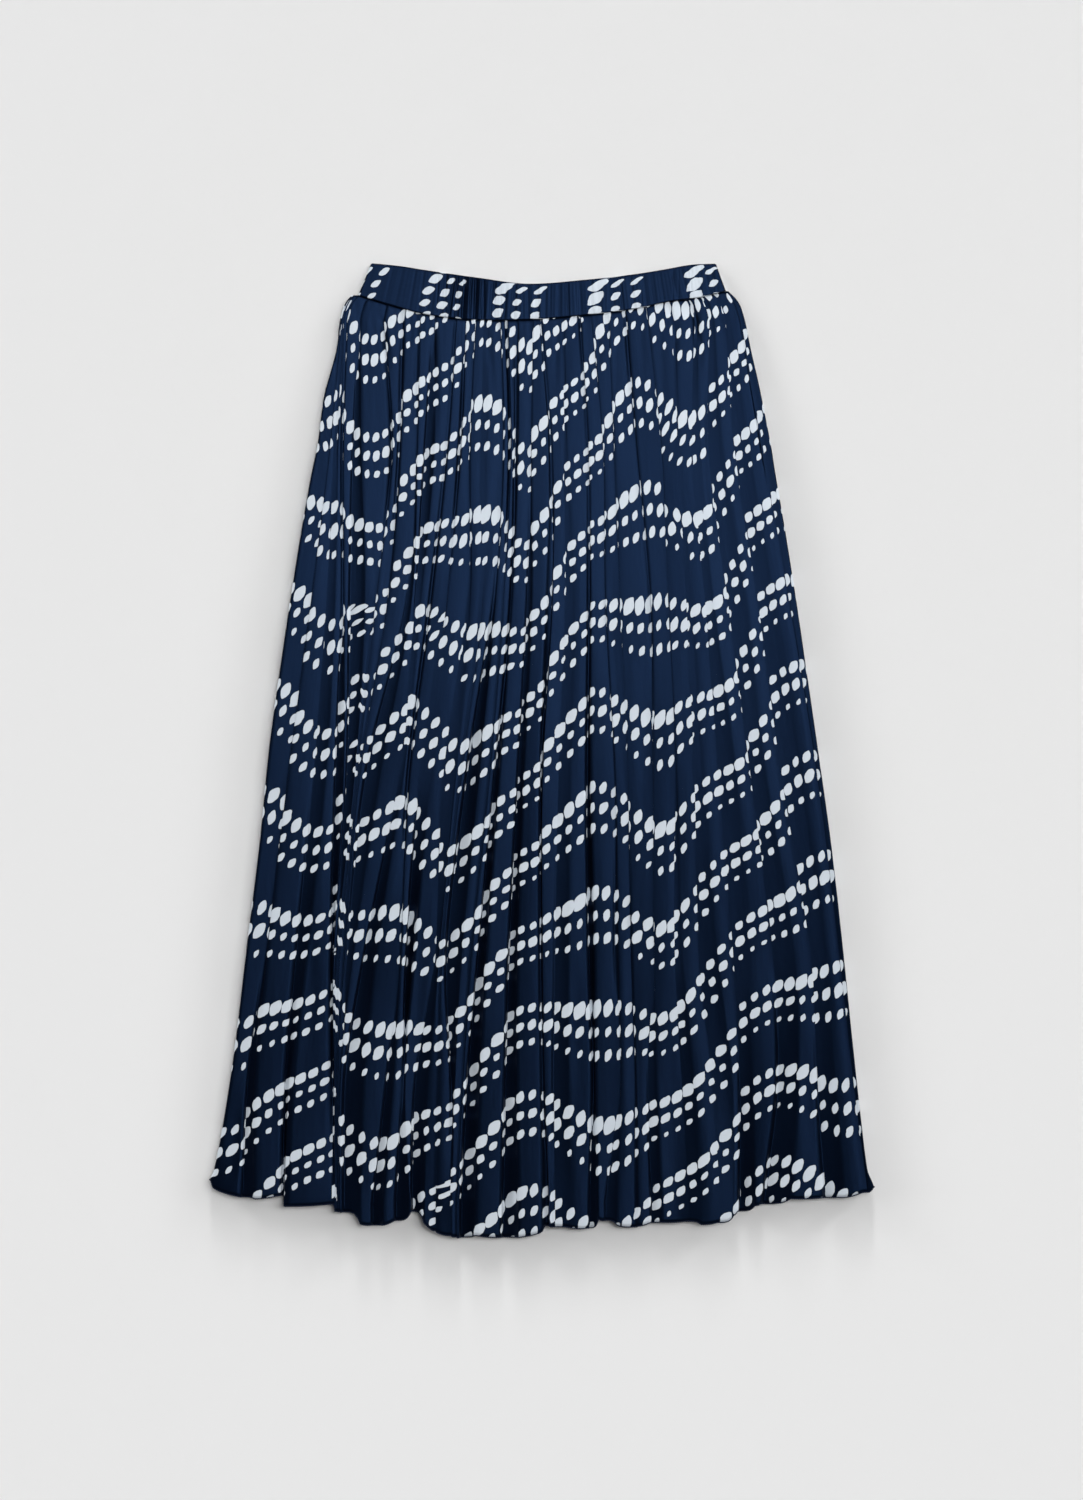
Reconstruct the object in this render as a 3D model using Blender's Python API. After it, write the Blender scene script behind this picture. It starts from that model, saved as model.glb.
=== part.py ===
"""Pleated midi skirt with an elasticated waistband, laid flat with its front up.

X runs across the skirt, +Y runs from the hem to the waist and +Z points up.
The origin lies under the middle of the bounding box, on the surface that the
skirt rests on. Sizes are in millimetres until a mesh is made, and heights up
the skirt are counted from the corners of the hem.
"""
from bisect import bisect_right
from collections import namedtuple
from math import cos, pi, sin

import bpy

MM = 0.001

# Cloth and seams
CLOTH = 1.1            # wall of the front panel
SEAM_GAP = 0.3         # clear space between two pieces that are sewn together
BAND_THICKNESS = 2.8   # two layers of cloth over the elastic, pressed flat
BACK_THIN = 1.3        # back panel in the troughs of its pleats
BACK_INSET = 1.5       # the back panel stays this far inside the front's sides
BACK_SHORTER = 3.0     # and this far above the front's hem
SIDE_ROLL = 1.8        # breadth of the rounded fold along each side
SIDE_ROLL_DEPTH = 0.25 # how far under the ridges it ends, as a share of their rise
CORNER_ROOM = 1.5      # a wall's mitred corners reach this many times its thickness
SHARPEST_CORNER = 0.6  # cosine of half the sharpest turn that a wall is mitred for

# Outline of the skirt: half-breadths left and right of the middle, by height
Side = namedtuple("Side", "up left right")
SIDES = [
    Side(-2, -287.0, 286.5),
    Side(6, -286.5, 283.8),
    Side(14, -282.1, 280.4),
    Side(57, -271.0, 272.7),
    Side(121, -264.1, 267.5),
    Side(208, -253.7, 258.0),
    Side(294, -242.5, 248.5),
    Side(380, -233.9, 236.5),
    Side(466, -221.8, 223.6),
    Side(509, -211.5, 217.5),
    Side(574, -204.6, 207.2),
    Side(617, -196.9, 200.3),
    Side(638, -189.1, 196.9),
    Side(681, -187.5, 188.2),
    Side(703, -181.3, 183.9),
    Side(724, -174.5, 178.8),
    Side(742, -173.8, 176.2),
    Side(758, -170.0, 171.5),
    Side(765, -163.5, 166.7),
    Side(772, -157.0, 158.9),
]
HEM_LEFT_CORNER = -6.0    # the hem's reach below its corners, at the left side
HEM_RIGHT_CORNER = 0.0    # and at the right side

# Waistband, from its left end to its right end: where its lower and upper
# edges lie, and how high its gathers stand
Band = namedtuple("Band", "seam_x seam_up top_x top_up gather")
BAND = [
    Band(-158.0, 768.4, -147.7, 796.0, 0.10),
    Band(-130.0, 760.0, -123.0, 793.6, 0.10),
    Band(-100.0, 752.0, -95.0, 789.2, 0.20),
    Band(-60.0, 747.4, -57.0, 783.8, 0.85),
    Band(-12.0, 747.4, -11.6, 778.3, 0.90),
    Band(40.0, 751.6, 39.0, 781.8, 0.60),
    Band(80.0, 756.6, 77.0, 786.0, 0.60),
    Band(110.0, 763.0, 105.0, 790.4, 0.60),
    Band(135.0, 766.3, 129.0, 794.6, 0.50),
    Band(159.0, 771.9, 151.2, 795.6, 0.40),
]
BAND_GATHERS = 40      # gathers along one side of the band
GATHER_POINTS = 4      # points along the band for each gather

# What keeps the gathers from being even: sways in their spacing, by gather
Sway = namedtuple("Sway", "size rate start")
GATHER_SWAYS = [Sway(0.16, 2.3, 0.0), Sway(0.10, 5.1, 1.0)]

# Where the columns of the fold table are read, up the skirt
LEVELS = {"hem": -12, "calf": 199, "knee": 354, "thigh": 505, "hip": 634, "waist": 746}
DEPTH_LEVELS = {"low": 120, "mid": 400, "high": 690}

# Pleats of the front, from left to right. waist to hem: where a trough runs, in
# thousandths of the breadth there. trough: its breadth at the hem. high, mid and
# low: its depth near the waist, half way down and near the hem. before, after:
# how far the hem hangs below its corners on each side of the fold.
Fold = namedtuple("Fold", "waist hip thigh knee calf hem trough high mid low before after")
FOLDS = [
    Fold(18, 20, 30, 37, 37, 44, 9, 0.3, 2.5, 5.0, 4.0, 6.0),
    Fold(32, 40, 72, 84, 90, 107, 11, 0.3, 3.0, 6.5, 8.6, 15.0),
    Fold(46, 64, 100, 132, 144, 157, 11, 2.5, 6.0, 5.0, 15.5, 15.5),
    Fold(74, 99, 142, 154, 158, 170, 9, 2.5, 6.0, 0.6, 15.5, 15.5),
    Fold(171, 180, 187, 175, 170, 181, 9, 3.0, 3.5, 0.6, 15.0, 15.0),
    Fold(205, 221, 229, 201, 184, 194, 9, 3.0, 6.0, 6.0, 15.0, 20.7),
    Fold(241, 248, 246, 237, 208, 229, 12, 3.0, 5.0, 7.5, 23.3, 31.5),
    Fold(266, 270, 261, 256, 257, 252, 7, 2.5, 3.0, 4.0, 32.7, 33.6),
    Fold(294, 291, 278, 272, 274, 277, 8, 3.0, 4.0, 6.5, 31.0, 30.0),
    Fold(327, 314, 305, 296, 290, 303, 8, 3.0, 3.5, 5.5, 29.3, 23.0),
    Fold(379, 375, 366, 338, 324, 324, 8, 1.5, 3.0, 5.0, 21.5, 27.6),
    Fold(412, 410, 402, 369, 357, 352, 11, 3.5, 6.5, 5.5, 38.8, 39.5),
    Fold(437, 439, 436, 412, 390, 389, 12, 3.5, 6.0, 7.5, 43.0, 43.0),
    Fold(477, 476, 470, 454, 443, 450, 12, 2.5, 5.5, 7.5, 44.4, 44.4),
    Fold(516, 521, 513, 493, 493, 505, 6, 2.5, 4.5, 4.5, 38.4, 33.6),
    Fold(554, 554, 546, 525, 526, 534, 14, 1.5, 3.0, 4.5, 35.3, 35.3),
    Fold(590, 594, 592, 577, 577, 582, 8, 2.5, 6.5, 6.0, 35.0, 28.4),
    Fold(622, 631, 629, 621, 620, 619, 7, 1.5, 3.0, 3.5, 34.0, 34.0),
    Fold(661, 657, 652, 651, 645, 647, 7, 1.5, 2.0, 3.5, 34.5, 34.0),
    Fold(707, 706, 707, 686, 677, 684, 8, 2.5, 1.2, 3.5, 31.0, 30.5),
    Fold(750, 751, 746, 729, 723, 740, 10, 2.0, 1.2, 3.5, 32.0, 32.0),
    Fold(789, 787, 784, 773, 770, 786, 12, 1.5, 1.2, 4.5, 29.0, 28.0),
    Fold(830, 827, 821, 820, 811, 819, 12, 2.0, 3.0, 5.5, 17.7, 15.0),
    Fold(880, 869, 873, 873, 863, 877, 14, 2.5, 3.0, 7.0, 16.4, 7.8),
    Fold(921, 927, 932, 932, 925, 938, 14, 2.0, 3.0, 6.5, 9.0, 9.0),
    Fold(962, 972, 972, 968, 963, 966, 8, 2.0, 2.5, 3.5, 8.6, 8.6),
]

# Height of the front's ridges over its deepest troughs, and of the back's
Rise = namedtuple("Rise", "up front back")
RISES = [
    Rise(-50, 7.8, 1.6),
    Rise(480, 6.8, 1.6),
    Rise(640, 5.0, 1.2),
    Rise(715, 3.0, 0.7),
    Rise(772, 1.4, 0.3),
]
TROUGH_OF_ROOM = 0.55  # a trough takes at most this share of the room at its fold
DEPTH_OF_ROOM = 0.5    # and is at most this share of it deep
LEAST_DEPTH = 0.05     # what is left of a trough where it has faded out
SETTLING_STEPS = 6     # rounds in which a point's place and height settle together

# How a pleat runs from one ridge to the next: share of its flat face and of the
# trough's depth for each line across the face
Face = namedtuple("Face", "share depth")
FACE = [Face(0.44, 0.04), Face(0.78, 0.2)]
BRINK_DEPTH = 0.52     # how far down the trough's gentle side has come at its brink
STEEP_SIDE = 0.36      # share of the trough's breadth under its steep side

# Rows of points, in shares of the way from the waist seam to the hem
FRONT_ROWS = [0, 0.02, 0.055, 0.11, 0.18, 0.26, 0.35, 0.44, 0.53, 0.62, 0.71, 0.80, 0.88, 0.95, 1]
BACK_ROWS = [0, 0.04, 0.12, 0.28, 0.46, 0.64, 0.82, 0.94, 1]

# Across the waistband, from its seam to its upper edge: how thick it is there,
# and how much of its gathers shows, both as shares of the most
Edge = namedtuple("Edge", "height thickness gather")
BAND_EDGES = [
    Edge(0.0, 0.45, 0.9),
    Edge(0.09, 0.92, 1.0),
    Edge(0.5, 1.0, 1.0),
    Edge(0.92, 0.92, 0.9),
    Edge(1.0, 0.5, 0.6),
]
BAND_END = 0.4         # thickness left at the ends of a band, where its side folds
BAND_END_POINTS = [0, 0.4, 1]    # points of that fold, as shares of its breadth
BAND_PLAIN_STEPS = 36  # stations along a band without gathers

NAVY = (0.009, 0.020, 0.066)


def clear_scene():
    """Remove whatever the scene holds before the skirt is modelled."""
    for thing in list(bpy.data.objects):
        bpy.data.objects.remove(thing, do_unlink=True)


def smooth(places, values):
    """A smooth curve through values at rising places, level past both ends."""
    last = len(places) - 1

    def slope(i):
        a, b = max(i - 1, 0), min(i + 1, last)
        return (values[b] - values[a]) / (places[b] - places[a])

    def read(at):
        if at <= places[0]:
            return values[0]
        if at >= places[last]:
            return values[last]
        i = bisect_right(places, at) - 1
        span = places[i + 1] - places[i]
        t = (at - places[i]) / span
        ends = values[i] * (1 + 2 * t) * (1 - t) ** 2 + values[i + 1] * t * t * (3 - 2 * t)
        leaving = slope(i) * span * t * (1 - t) ** 2
        arriving = slope(i + 1) * span * t * t * (1 - t)
        return ends + leaving - arriving

    return read


def column(table, name):
    """One named column of a table."""
    return [getattr(row, name) for row in table]


def by_level(fold, levels):
    """A fold's named columns as a curve up the skirt."""
    return smooth(list(levels.values()), [getattr(fold, name) for name in levels])


left_side = smooth(column(SIDES, "up"), column(SIDES, "left"))
right_side = smooth(column(SIDES, "up"), column(SIDES, "right"))
seam_up = smooth(column(BAND, "seam_x"), column(BAND, "seam_up"))
front_rise = smooth(column(RISES, "up"), column(RISES, "front"))
back_rise = smooth(column(RISES, "up"), column(RISES, "back"))
band_top_x = smooth(column(BAND, "seam_x"), column(BAND, "top_x"))
band_top_up = smooth(column(BAND, "seam_x"), column(BAND, "top_up"))
band_gather = smooth(column(BAND, "seam_x"), column(BAND, "gather"))

HIGHEST = max(column(BAND, "top_up"))
LOWEST = -max(column(FOLDS, "before"))
MIDDLE_UP = (HIGHEST + LOWEST) / 2


class Pleats:
    """The pleats of one panel, as lines that run down it from left to right."""

    def __init__(self, folds, rise, inset):
        self.folds = folds
        self.rise = rise
        self.inset = inset
        self.where = [by_level(fold, LEVELS) for fold in folds]
        self.depths = [by_level(fold, DEPTH_LEVELS) for fold in folds]

    def sides(self, up):
        """Both edges of the panel at a height."""
        return left_side(up) + self.inset, right_side(up) - self.inset

    def middle(self, i, up):
        """Middle of a trough at a height. The sides count as troughs past the ends."""
        left, right = self.sides(up)
        if i < 0:
            return left
        if i == len(self.folds):
            return right
        return left + (right - left) * self.where[i](up) / 1000

    def trough(self, i, up):
        """Breadth and depth of a trough, held to the room between its neighbours."""
        middle = self.middle(i, up)
        room = min(middle - self.middle(i - 1, up), self.middle(i + 1, up) - middle)
        left, right = self.sides(up)
        spread = (right - left) / (SIDES[0].right - SIDES[0].left)
        breadth = min(self.folds[i].trough * spread, room * TROUGH_OF_ROOM)
        depth = min(self.depths[i](up), self.rise(up), room * DEPTH_OF_ROOM)
        return breadth, max(depth, LEAST_DEPTH)

    def lines(self):
        """Every line down the panel: what it is, and the fold that it leads to."""
        found = [("left", 0), ("left_roll", 0)]
        for i in range(len(self.folds)):
            found += [(face, i) for face in FACE]
            found += [("brink", i), ("foot", i), ("ridge", i)]
        return found + [("right_roll", 0), ("right", 0)]

    def cross(self, line, up):
        """Where a line crosses a height: its x, and how far it lies below the ridges."""
        kind, i = line
        left, right = self.sides(up)
        ends = {
            "left": (left, self.rise(up)),
            "left_roll": (left + SIDE_ROLL, self.rise(up) * SIDE_ROLL_DEPTH),
            "right_roll": (right - SIDE_ROLL, self.rise(up) * SIDE_ROLL_DEPTH),
            "right": (right, self.rise(up)),
        }
        if kind in ends:
            return ends[kind]
        breadth, depth = self.trough(i, up)
        middle = self.middle(i, up)
        if kind == "ridge":
            return middle + breadth / 2, 0.0
        if kind == "foot":
            return middle + breadth * (0.5 - STEEP_SIDE), depth
        brink = middle - breadth / 2
        if kind == "brink":
            return brink, depth * BRINK_DEPTH
        start = left + SIDE_ROLL
        if i:
            start = self.middle(i - 1, up) + self.trough(i - 1, up)[0] / 2
        return start + (brink - start) * kind.share, depth * kind.depth

    def hem(self, line):
        """How far the hem hangs below its corners where a line reaches it."""
        kind, i = line
        if kind in ("left", "left_roll"):
            return HEM_LEFT_CORNER
        if kind in ("right", "right_roll"):
            return HEM_RIGHT_CORNER
        if kind == "ridge":
            return self.folds[i].after
        if kind in ("brink", "foot"):
            return self.folds[i].before
        start = self.folds[i - 1].after if i else HEM_LEFT_CORNER
        return start + (self.folds[i].before - start) * kind.share

    def place(self, line, share, top_gap, hem_gap):
        """A point of a line, at a share of its way down: x, height and depth."""
        up = HIGHEST * (1 - share)
        for _ in range(SETTLING_STEPS):
            x, depth = self.cross(line, up)
            top = seam_up(x) - top_gap
            bottom = hem_gap - self.hem(line)
            up = top + (bottom - top) * share
        return x, up, depth


def wall_below(section, thickness):
    """The inner side of a wall: a row of (x, z) points, moved in by its thickness."""
    inner = []
    for j, (x, z) in enumerate(section):
        x0, z0 = section[max(j - 1, 0)]
        x1, z1 = section[min(j + 1, len(section) - 1)]
        ax, az = unit(x - x0, z - z0) if j else unit(x1 - x, z1 - z)
        bx, bz = unit(x1 - x, z1 - z) if j < len(section) - 1 else (ax, az)
        nx, nz = unit(-(az + bz), ax + bx)
        reach = thickness / max(nz * ax - nx * az, SHARPEST_CORNER)
        inner.append((x - nx * reach, z - nz * reach))
    return inner


def unit(x, z):
    """A direction of length 1."""
    length = (x * x + z * z) ** 0.5
    return x / length, z / length


def world(x, up, z):
    """A point in metres in the part's frame."""
    return x * MM, (up - MIDDLE_UP) * MM, z * MM


def closed_shell(name, outer, inner):
    """One closed body between two grids of points, outer seen from above."""
    rows, wide = len(outer), len(outer[0])
    points = [point for grid in (outer, inner) for row in grid for point in row]
    under = rows * wide

    def triangles(a, b, c, d):
        return [(a, b, c), (a, c, d)]

    faces = []
    for r in range(rows - 1):
        for c in range(wide - 1):
            a, b = r * wide + c, r * wide + c + 1
            d, e = a + wide, b + wide
            faces += triangles(a, d, e, b)
            faces += [tuple(under + p for p in reversed(face)) for face in triangles(a, d, e, b)]
    border = [(0, c) for c in range(wide)]
    border += [(r, wide - 1) for r in range(1, rows)]
    border += [(rows - 1, c) for c in range(wide - 2, -1, -1)]
    border += [(r, 0) for r in range(rows - 2, 0, -1)]
    for (r0, c0), (r1, c1) in zip(border, border[1:] + border[:1]):
        a, b = r0 * wide + c0, r1 * wide + c1
        faces += triangles(a, b, under + b, under + a)
    mesh = bpy.data.meshes.new(name)
    mesh.from_pydata(points, [], faces)
    mesh.validate()
    mesh.shade_smooth()
    mesh.set_sharp_from_angle(angle=pi / 5)
    shell = bpy.data.objects.new(name, mesh)
    bpy.context.scene.collection.objects.link(shell)
    return shell


def satin(name, colour):
    """Smooth satin: a soft gloss on a dark ground."""
    material = bpy.data.materials.new(name)
    material.use_nodes = True
    shader = material.node_tree.nodes["Principled BSDF"]
    shader.inputs["Base Color"].default_value = (*colour, 1.0)
    shader.inputs["Roughness"].default_value = 0.42
    shader.inputs["Metallic"].default_value = 0.0
    return material


def front_base(up):
    """Height of the front's deepest troughs over the floor."""
    return BACK_THIN + back_rise(up) + SEAM_GAP + CLOTH * CORNER_ROOM


def make_front_panel():
    """The pleated front, a wall that follows its pleats on both sides."""
    pleats = Pleats(FOLDS, front_rise, 0.0)
    outer, inner = [], []
    for share in FRONT_ROWS:
        places = [pleats.place(line, share, SEAM_GAP / 2, 0.0) for line in pleats.lines()]
        section = [(x, front_base(up) + front_rise(up) - depth) for x, up, depth in places]
        below = wall_below(section, CLOTH)
        outer.append([world(x, p[1], z) for (x, z), p in zip(section, places)])
        inner.append([world(x, p[1], z) for (x, z), p in zip(below, places)])
    panel = closed_shell("front_panel", outer, inner)
    panel.data.materials.append(satin("satin_front", NAVY))
    return panel


def make_back_panel():
    """The pleated back, pressed flat where it rests, with its pleats on the inside."""
    pleats = Pleats(FOLDS, back_rise, BACK_INSET)
    upper, lower = [], []
    for share in BACK_ROWS:
        lines = [line for line in pleats.lines() if line[0] not in FACE]
        places = [pleats.place(line, share, SEAM_GAP / 2, BACK_SHORTER) for line in lines]
        upper.append([world(x, up, BACK_THIN + back_rise(up) - d) for x, up, d in places])
        lower.append([world(x, up, 0.0) for x, up, d in places])
    panel = closed_shell("back_panel", upper, lower)
    panel.data.materials.append(satin("satin_back", NAVY))
    return panel


def gather_wave(turn):
    """Height of a gather, 0 to 1, by the number of gathers passed."""
    uneven = turn + sum(sway.size * sin(turn * sway.rate + sway.start) for sway in GATHER_SWAYS)
    return (1 + cos(2 * pi * uneven)) / 2


def band_point(along, height, shorter):
    """A point of the band by shares of its length and height: x and up."""
    seam_x = BAND[0].seam_x + (BAND[-1].seam_x - BAND[0].seam_x) * along
    low = seam_up(seam_x) + SEAM_GAP / 2
    high = band_top_up(seam_x) - shorter
    return seam_x + (band_top_x(seam_x) - seam_x) * height, low + (high - low) * height


def make_waistband(name, base, gathered, shorter):
    """One side of the waistband, rounded at its edges over a plain inside."""
    steps = BAND_GATHERS * GATHER_POINTS if gathered else BAND_PLAIN_STEPS
    length = BAND[-1].seam_x - BAND[0].seam_x
    end_fold = [SIDE_ROLL / length * share for share in BAND_END_POINTS]
    stations = end_fold + [step / steps for step in range(1, steps)]
    stations += [1 - along for along in reversed(end_fold)]
    outer, inner = [], []
    for edge in reversed(BAND_EDGES):
        above, below = [], []
        for along in stations:
            x, up = band_point(along, edge.height, shorter)
            end = min(along, 1 - along) * length / SIDE_ROLL
            full = edge.thickness * (1 if end > 1 else BAND_END + (1 - BAND_END) * end ** 0.5)
            rise = band_gather(x) * gather_wave(along * BAND_GATHERS) if gathered else 0
            above.append(world(x, up, base + BAND_THICKNESS * full + rise * full * edge.gather))
            below.append(world(x, up, base))
        outer.append(above)
        inner.append(below)
    band = closed_shell(name, outer, inner)
    band.data.materials.append(satin("satin_" + name, NAVY))
    return band


clear_scene()
make_front_panel()
make_back_panel()
make_waistband("waistband_front", BAND_THICKNESS + SEAM_GAP, True, 0.0)
make_waistband("waistband_back", 0.0, False, BACK_INSET)
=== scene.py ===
"""Looks of a pleated midi skirt in printed navy satin, laid flat with its front up.

The sections follow the skirt as it is sewn. The picture's floor, light and camera come last.
X runs across the skirt, +Y runs from the hem to the waist and +Z points up. Tables are in
millimetres, and heights up the skirt are counted from the right corner of the hem.
"""
import math
from collections import namedtuple

import bpy
import numpy as np
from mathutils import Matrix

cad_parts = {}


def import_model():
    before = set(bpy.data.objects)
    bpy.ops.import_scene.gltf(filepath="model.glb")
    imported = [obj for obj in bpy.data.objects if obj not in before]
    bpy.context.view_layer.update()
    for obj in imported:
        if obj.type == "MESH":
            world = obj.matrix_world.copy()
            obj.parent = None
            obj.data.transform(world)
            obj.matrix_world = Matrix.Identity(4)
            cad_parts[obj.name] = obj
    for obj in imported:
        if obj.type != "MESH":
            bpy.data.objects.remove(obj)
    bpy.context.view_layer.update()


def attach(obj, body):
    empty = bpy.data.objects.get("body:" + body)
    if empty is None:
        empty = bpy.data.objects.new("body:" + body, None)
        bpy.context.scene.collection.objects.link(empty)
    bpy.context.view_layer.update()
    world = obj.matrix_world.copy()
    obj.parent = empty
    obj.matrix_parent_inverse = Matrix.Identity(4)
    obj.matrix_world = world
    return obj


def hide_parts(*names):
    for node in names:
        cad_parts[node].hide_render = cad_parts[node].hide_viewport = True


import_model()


# --- front panel
# One length of printed polyester satin, heat-set into loose knife pleats that run from the
# waist seam to the hem. Laid down, the pleats lean over to the right and spread at the hem.
# Each is a ridge, a broad face that sinks to the right, and a facet up to the next ridge.
MM = 0.001
SATIN = 0.34  # wall of the cloth as it shows


def table(columns, rows):
    """Rows of values with named columns."""
    Row = namedtuple("Row", columns)
    return [Row(*row) for row in rows]


SIDES = table("up left right", [
    (-2, -288.5, 287.5), (6, -286.2, 284.3), (14, -282.5, 281), (57, -274, 275.5),
    (121, -264.3, 268.5), (208, -253.9, 259.5), (294, -243.2, 249.8), (380, -234.5, 237.8),
    (466, -222.5, 225.3), (509, -216, 219), (574, -205.6, 208.6), (617, -197.8, 201.2),
    (638, -193.2, 198), (681, -187.7, 189.6), (703, -181.6, 184.9), (724, -176.2, 180),
    (742, -174.4, 176.6), (758, -170.6, 172), (765, -166.5, 168), (772, -159, 161),
])
HEM_LEFT_CORNER = -6.0  # how low the hem hangs at its corners: the left one is higher
HEM_RIGHT_CORNER = 0.0
HEM_BOW = 0.6  # each face hangs a little lower in its middle
HEM_STEP = 5  # it steps close to each ridge, as this power of the way to it
CORNER_ROUND = 0.45  # the hem turns down quickly from its left corner, as this power

# The waist seam and the top of the waistband, from left to right
BAND = table("seam_x seam_up top_x top_up", [
    (-158, 768.4, -147.7, 796), (-130, 760, -123, 793.6), (-100, 752, -95, 789.2),
    (-60, 747.4, -57, 783.8), (-12, 747.4, -11.6, 778.3), (40, 751.6, 39, 781.8),
    (80, 756.6, 77, 786), (110, 763, 105, 790.4), (135, 766.3, 129, 794.6),
    (159, 771.9, 151.2, 795.6),
])

LEVELS = {"hem": -12, "shin": 90, "calf": 199, "knee": 354, "thigh": 505, "hip": 634, "waist": 746}
FROM_WAIST = "waist hip thigh knee calf shin hem"

PARTS = 1000  # a ridge's place is a number of these parts of the breadth
# Ridges from left to right: where one runs from waist to hem, how far the hem hangs below its
# corners before and after it, and whether it is turned, with its trough on its right
RIDGES = table(FROM_WAIST + " before after turned", [
    (4, 29, 42, 40, 36, 40, 72, 8.5, 10.2, 0),
    (9, 46, 89, 108, 102, 97, 116, 7.2, 16.5, 0),
    (18, 59, 106, 139, 148, 167, 192, 14.7, 20.7, 0),
    (50, 99, 148, 159, 151, 169, 194, 20.8, 20.8, 0),
    (109, 167, 170, 164, 158, 171, 196, 20.9, 20.9, 0),
    (158, 185, 193, 168, 165, 173, 197, 21, 21, 0),
    (198, 222, 240, 206, 180, 176, 199, 21.1, 21.1, 0),
    (236, 259, 259, 246, 218, 214, 230, 21.5, 31.8, 0),
    (288, 289, 280, 259, 259, 260, 264, 32.8, 32.8, 0),
    (312, 318, 310, 296, 282, 279, 303, 28.9, 24, 0),
    (335, 338, 357, 340, 323, 316, 325, 21, 30.6, 0),
    (369, 375, 381, 351, 328, 333, 343, 37.5, 38.5, 0),
    (397, 412, 406, 383, 361, 359, 366, 41.6, 42, 0),
    (414, 427, 421, 401, 376, 371, 374, 42.8, 43, 0),
    (441, 443, 438, 420, 402, 399, 402, 43.4, 41.6, 0),
    (478, 472, 478, 464, 455, 458, 467, 43.4, 43.3, 0),
    (493, 513, 505, 493, 492, 498, 502, 38.8, 33.2, 1),
    (555, 551, 562, 548, 540, 541, 546, 34.2, 35.2, 0),
    (595, 598, 594, 584, 584, 583, 586, 35.3, 27.4, 0),
    (622, 630, 623, 628, 623, 623, 614, 28.6, 33, 0),
    (664, 654, 652, 651, 645, 648, 645, 34.4, 33.6, 0),
    (709, 705, 713, 696, 683, 681, 680, 30.6, 30.3, 0),
    (761, 758, 747, 739, 730, 740, 739, 29.4, 32.2, 0),
    (827, 800, 792, 784, 789, 801, 788, 30.5, 24.5, 0),
    (884, 840, 836, 846, 840, 833, 820, 21, 16, 0),
    (924, 892, 897, 900, 918, 906, 873, 14.6, 9.8, 0),
    (964, 951, 956, 960, 968, 965, 954, 9.2, 9, 0),
    (988, 977, 978, 982, 986, 986, 980, 5, 4.4, 1),
])

# The trough beside each ridge, in the same order: its breadth, and its depth
BREADTHS = table(FROM_WAIST, [
    (1.7, 1.7, 2.6, 2.6, 3.4, 6.9, 12.1),
    (1.7, 3.4, 8.6, 12.9, 10.3, 5.2, 3.4),
    (2.6, 2.6, 2.6, 7.8, 3.4, 3.4, 4.3),
    (1.7, 8.6, 14.6, 7.8, 1.7, 0.9, 0.9),
    (2.6, 2.6, 2.6, 1.7, 1.7, 0.9, 0.9),
    (3.4, 3.4, 2.6, 1.7, 1.7, 0.9, 0.9),
    (2.6, 3.4, 5.2, 14.6, 6, 0.9, 0.9),
    (2.6, 9.5, 6, 4.3, 11.2, 19, 16.4),
    (2.6, 3.4, 3.4, 3.4, 2.6, 6, 10.3),
    (2.6, 3.4, 2.6, 10.3, 7.8, 2.6, 12.9),
    (2.6, 3.4, 4.3, 12.1, 4.3, 12.1, 12.1),
    (5.2, 6.9, 3.4, 2.6, 1.7, 1.7, 2.6),
    (2.6, 3.4, 3.4, 12.1, 14.6, 4.3, 3.4),
    (2.6, 2.6, 1.7, 1.7, 1.7, 1.7, 1.7),
    (3.4, 4.3, 2.6, 5.2, 7.8, 12.1, 13.8),
    (3.4, 2.6, 5.2, 6, 8.6, 11.2, 15.5),
    (2.6, 2.6, 6, 2.6, 2.6, 2.6, 6),
    (4.3, 4.3, 9.5, 12.1, 13.8, 15.5, 17.2),
    (2.6, 2.6, 3.4, 4.3, 6, 3.4, 8.6),
    (2.6, 1.7, 1.7, 2.6, 4.3, 2.6, 11.2),
    (2.6, 2.6, 1.7, 2.6, 1.7, 3.4, 4.3),
    (3.4, 3.4, 2.6, 2.6, 1.7, 9, 9.5),
    (2.6, 2.6, 2.6, 3.4, 7.8, 12.1, 12.1),
    (4.3, 4.3, 5.2, 7.8, 19, 20.7, 13.8),
    (4.3, 6.9, 8.6, 18.1, 15.5, 12.5, 15),
    (5.2, 14.6, 17.2, 16.4, 22.4, 19.8, 25.8),
    (5.2, 15.5, 17.2, 19, 14.6, 18.1, 19),
    (2.6, 3.4, 4.3, 5.2, 4.3, 5.2, 6.9),
])
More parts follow.
